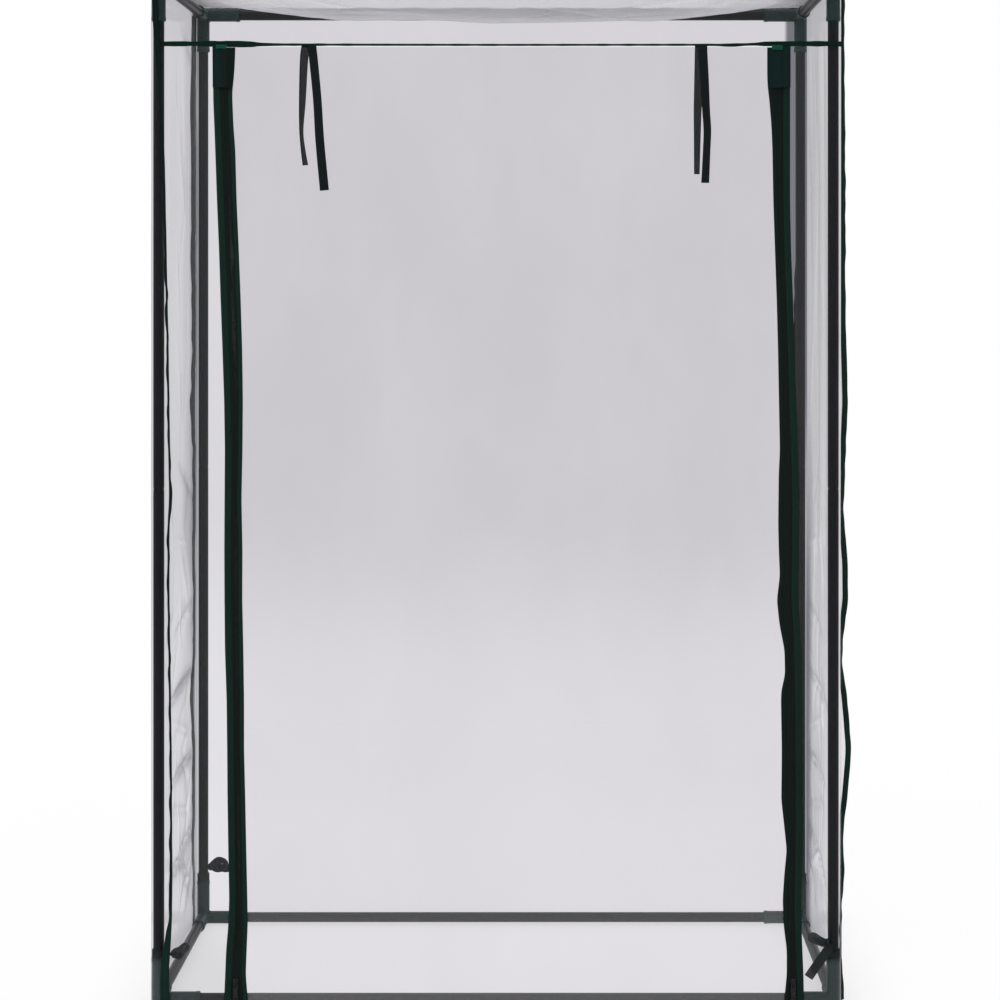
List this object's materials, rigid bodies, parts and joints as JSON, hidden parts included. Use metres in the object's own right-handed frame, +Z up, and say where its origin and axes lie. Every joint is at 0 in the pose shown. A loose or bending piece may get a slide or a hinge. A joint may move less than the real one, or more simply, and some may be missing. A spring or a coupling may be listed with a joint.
{
  "type": "tomato greenhouse",
  "caption": "Upright garden greenhouse: a push-fit tube frame under a loose clear film cover with a zipped lift-up front door.",
  "frame": {"origin": "on the floor under the middle of the frame", "axes": "+Z up, +X to the right seen from the door, -Y out of the door"},
  "size_m": [1.0332, 0.5332, 1.505],
  "materials": {
    "coated_steel": "satin black powder coat",
    "moulded_plastic": "moulded, matt dark grey green",
    "clear_film": "clear soft film, glossy, slightly creased",
    "green_tape": "woven dark green binding tape",
    "zip_tape": "woven black zip tape",
    "zip_coil": "black nylon coil",
    "zip_metal": "black lacquered zinc",
    "strap_webbing": "woven black tape"
  },
  "bodies": {
    "frame": {"binding_corner_back_left": "green_tape", "binding_corner_back_right": "green_tape", "binding_corner_front_left": "green_tape", "binding_corner_front_right": "green_tape", "binding_header": "green_tape", "binding_roof_back": "green_tape", "binding_roof_front": "green_tape", "binding_roof_left": "green_tape", "binding_roof_right": "green_tape", "connector_bottom_back_left": "moulded_plastic", "connector_bottom_back_right": "moulded_plastic", "connector_bottom_front_left": "moulded_plastic", "connector_bottom_front_right": "moulded_plastic", "connector_top_back_left": "moulded_plastic", "connector_top_back_right": "moulded_plastic", "connector_top_front_left": "moulded_plastic", "connector_top_front_right": "moulded_plastic", "panel_back": "clear_film", "panel_front_left": "clear_film", "panel_front_right": "clear_film", "panel_header": "clear_film", "panel_left": "clear_film", "panel_right": "clear_film", "panel_roof": "clear_film", "post_lower_back_left": "coated_steel", "post_lower_back_right": "coated_steel", "post_lower_front_left": "coated_steel", "post_lower_front_right": "coated_steel", "post_tie_back_left": "strap_webbing", "post_tie_back_right": "strap_webbing", "post_tie_front_left": "strap_webbing", "post_tie_front_right": "strap_webbing", "post_upper_back_left": "coated_steel", "post_upper_back_right": "coated_steel", "post_upper_front_left": "coated_steel", "post_upper_front_right": "coated_steel", "rail_bottom_back": "coated_steel", "rail_bottom_front": "coated_steel", "rail_top_back": "coated_steel", "rail_top_front": "coated_steel", "side_rail_bottom_left": "coated_steel", "side_rail_bottom_right": "coated_steel", "side_rail_top_left": "coated_steel", "side_rail_top_right": "coated_steel", "zip_chain_left": "zip_coil", "zip_chain_right": "zip_coil", "zip_tape_left": "zip_tape", "zip_tape_right": "zip_tape"},
    "door": {"door_panel": "clear_film", "door_tape_left": "zip_tape", "door_tape_right": "zip_tape"},
    "slider_left": {"zip_slider_left": "zip_metal"},
    "pull_left": {"zip_pull_left": "zip_metal"},
    "outer_strap_left": {"strap_outer_left": "strap_webbing"},
    "inner_strap_left": {"strap_inner_left": "strap_webbing"},
    "slider_right": {"zip_slider_right": "zip_metal"},
    "pull_right": {"zip_pull_right": "zip_metal"},
    "outer_strap_right": {"strap_outer_right": "strap_webbing"},
    "inner_strap_right": {"strap_inner_right": "strap_webbing"}
  },
  "joints": [
    {"name": "door_lift", "type": "hinge", "parent": "frame", "child": "door", "pos_m": [0, -0.2513, 1.3915], "axis": [-1, 0, 0], "range_deg": [0, 90]},
    {"name": "zip_slide_left", "type": "slide", "parent": "frame", "child": "slider_left", "axis": [-0.0136, 0, 0.9999], "range_m": [0, 1.34]},
    {"name": "pull_swing_left", "type": "hinge", "parent": "slider_left", "child": "pull_left", "pos_m": [-0.37649, -0.2568, 0.036], "axis": [-1, 0, 0], "range_deg": [0, 170]},
    {"name": "outer_strap_swing_left", "type": "hinge", "parent": "door", "child": "outer_strap_left", "pos_m": [-0.267, -0.2527, 1.3871], "axis": [-1, 0, 0], "range_deg": [0, 60]},
    {"name": "inner_strap_swing_left", "type": "hinge", "parent": "frame", "child": "inner_strap_left", "pos_m": [-0.278, -0.2495, 1.3945], "axis": [1, 0, 0], "range_deg": [0, 90]},
    {"name": "zip_slide_right", "type": "slide", "parent": "frame", "child": "slider_right", "axis": [-0.0136, 0, 0.9999], "range_m": [0, 1.34]},
    {"name": "pull_swing_right", "type": "hinge", "parent": "slider_right", "child": "pull_right", "pos_m": [0.43051, -0.2568, 0.036], "axis": [-1, 0, 0], "range_deg": [0, 170]},
    {"name": "outer_strap_swing_right", "type": "hinge", "parent": "door", "child": "outer_strap_right", "pos_m": [0.302, -0.2527, 1.3871], "axis": [-1, 0, 0], "range_deg": [0, 60]},
    {"name": "inner_strap_swing_right", "type": "hinge", "parent": "frame", "child": "inner_strap_right", "pos_m": [0.297, -0.2495, 1.3945], "axis": [1, 0, 0], "range_deg": [0, 90]}
  ]
}
